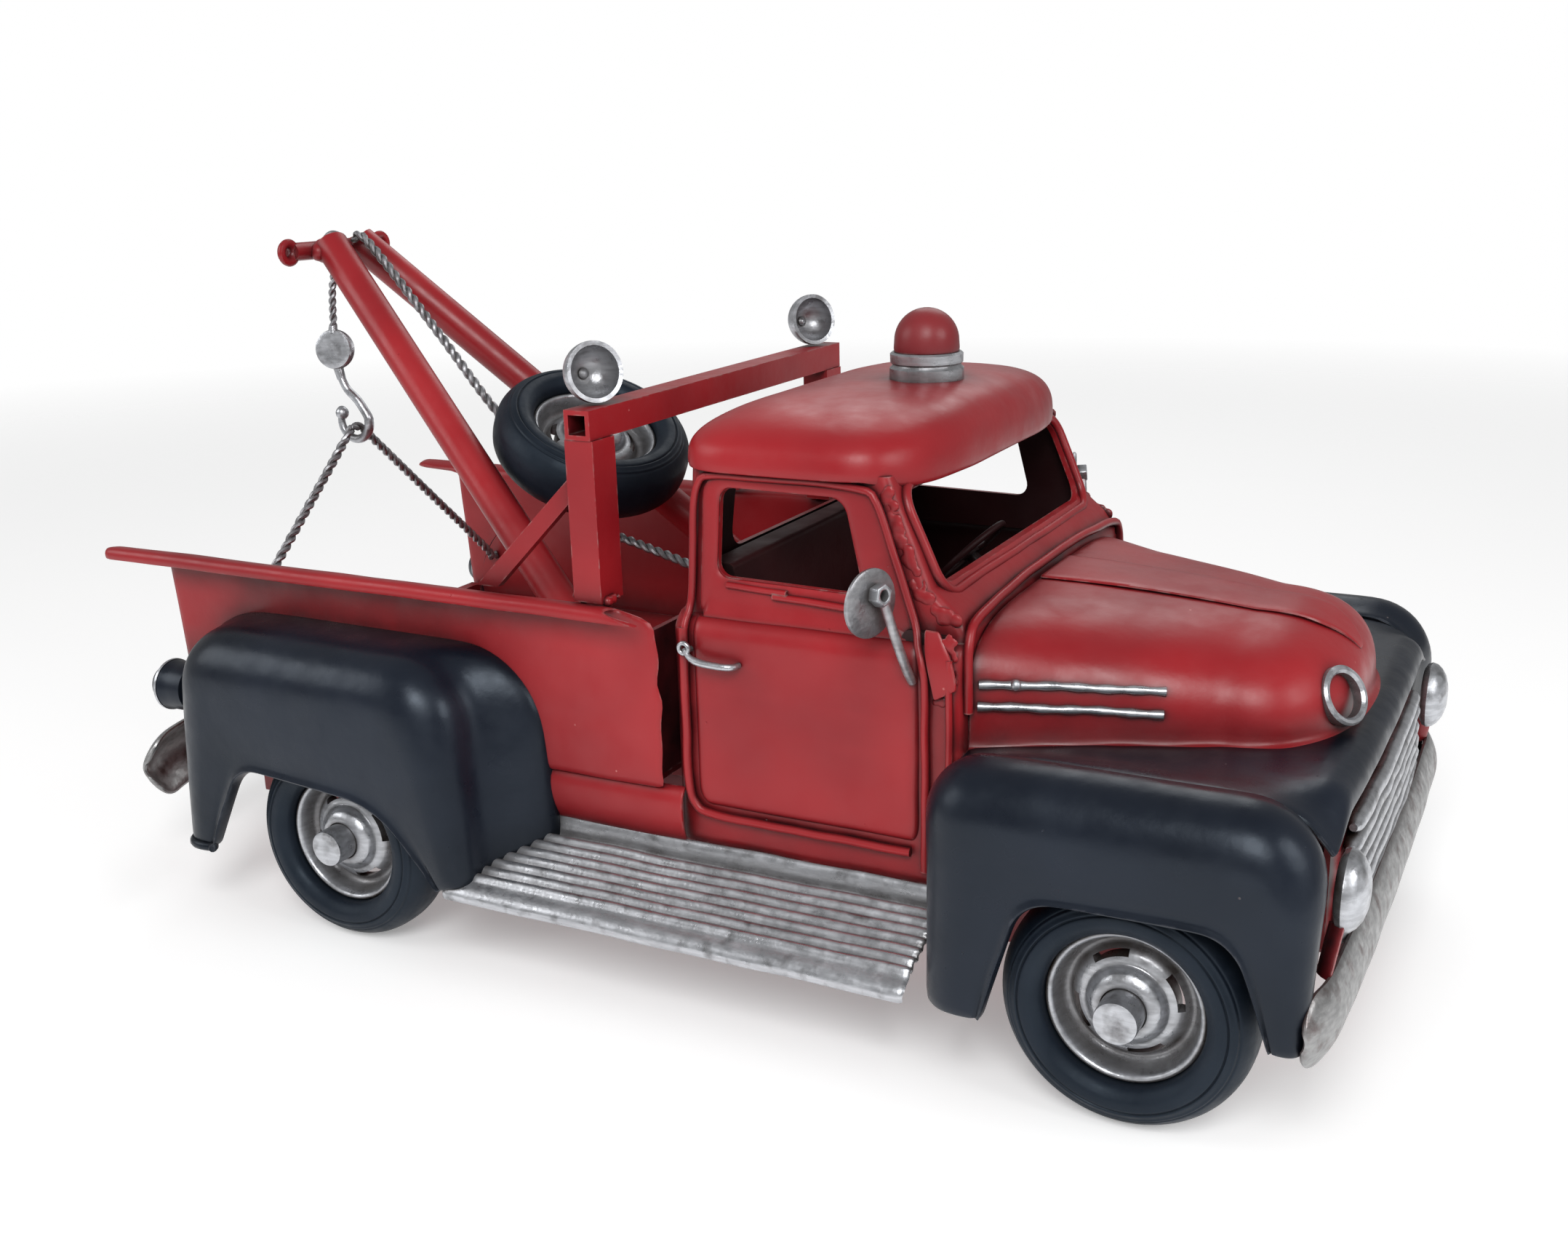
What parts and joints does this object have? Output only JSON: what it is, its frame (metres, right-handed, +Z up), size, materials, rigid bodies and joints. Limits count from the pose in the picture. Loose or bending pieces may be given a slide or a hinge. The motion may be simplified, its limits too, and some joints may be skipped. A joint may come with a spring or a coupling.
{
  "type": "toy tow truck",
  "caption": "Sheet-metal toy pickup tow truck with a fixed boom crane, a hanging hook and sling, a spare wheel and rolling wheelsets.",
  "frame": {"origin": "on the ground, at the bottom centre of the truck's bounding box", "axes": "+X towards the truck's front bumper, +Y towards its left side, +Z up"},
  "size_m": [0.2984, 0.152, 0.1535],
  "materials": {
    "red_enamel": "satin brush-painted enamel, worn at edges",
    "black_enamel": "satin blue-black enamel",
    "antique_silver": "antiqued silver with dark recesses",
    "tyre": "smooth satin black",
    "dark_metal": "matt dark paint",
    "dark_interior": "dull dark paint",
    "twisted_wire": "twisted steel wire, tarnished"
  },
  "bodies": {
    "truck": {"chassis_frame": "dark_metal", "spare_tyre": "tyre", "spare_rim": "antique_silver", "cab_shell": "red_enamel", "cab_roof": "red_enamel", "cab_beads": "red_enamel", "door_right": "red_enamel", "door_left": "red_enamel", "door_handles": "antique_silver", "mirror_arms": "antique_silver", "mirror_discs": "antique_silver", "mirror_nuts": "antique_silver", "dashboard": "dark_interior", "bench_seat": "dark_interior", "steering_wheel": "dark_interior", "hood_shell": "red_enamel", "hood_centre_panel": "red_enamel", "nose_badge": "antique_silver", "hood_trims": "antique_silver", "front_deck": "black_enamel", "front_fender_right": "black_enamel", "front_fender_left": "black_enamel", "grille_panel": "red_enamel", "grille_bars": "antique_silver", "front_bumper": "antique_silver", "headlights": "antique_silver", "rear_fender_right": "black_enamel", "rear_fender_left": "black_enamel", "running_board_right": "antique_silver", "running_board_left": "antique_silver", "bed_floor": "red_enamel", "bed_side_right": "red_enamel", "bed_side_left": "red_enamel", "bed_front_wall": "red_enamel", "bed_rear_sill": "red_enamel", "rear_bumper": "antique_silver", "tail_lamps": "black_enamel", "crane_posts": "red_enamel", "crossbeam": "red_enamel", "crane_braces": "red_enamel", "boom_tubes": "red_enamel", "boom_head": "red_enamel", "boom_cable": "twisted_wire", "spotlights": "antique_silver", "beacon_collar": "antique_silver", "beacon_dome": "red_enamel"},
    "front_wheelset": {"front_axle": "antique_silver", "front_tyre_right": "tyre", "front_tyre_left": "tyre", "front_rim_right": "antique_silver", "front_rim_left": "antique_silver"},
    "rear_wheelset": {"rear_axle": "antique_silver", "rear_tyre_right": "tyre", "rear_tyre_left": "tyre", "rear_rim_right": "antique_silver", "rear_rim_left": "antique_silver"},
    "hook_line": {"hanging_cable": "twisted_wire", "pulley_block": "antique_silver", "tow_hook": "antique_silver"},
    "sling": {"sling_wire": "twisted_wire"}
  },
  "joints": [
    {"name": "front_wheels_roll", "type": "hinge", "parent": "truck", "child": "front_wheelset", "pos_m": [0.111, 0, 0.0235], "axis": [0, 1, 0], "continuous": true},
    {"name": "rear_wheels_roll", "type": "hinge", "parent": "truck", "child": "rear_wheelset", "pos_m": [-0.069, 0, 0.0235], "axis": [0, 1, 0], "continuous": true},
    {"name": "hook_line_swing", "type": "hinge", "parent": "truck", "child": "hook_line", "pos_m": [-0.116, 0, 0.1491], "axis": [0, 1, 0], "range_deg": [-5, 5]},
    {"name": "sling_swing", "type": "hinge", "parent": "truck", "child": "sling", "pos_m": [-0.115, 0, 0.057], "axis": [0, 1, 0], "range_deg": [-5.12, 5.12]}
  ],
  "couplings": [
    {"joint": "sling_swing", "follows": "hook_line_swing", "ratio": -0.9849}
  ]
}
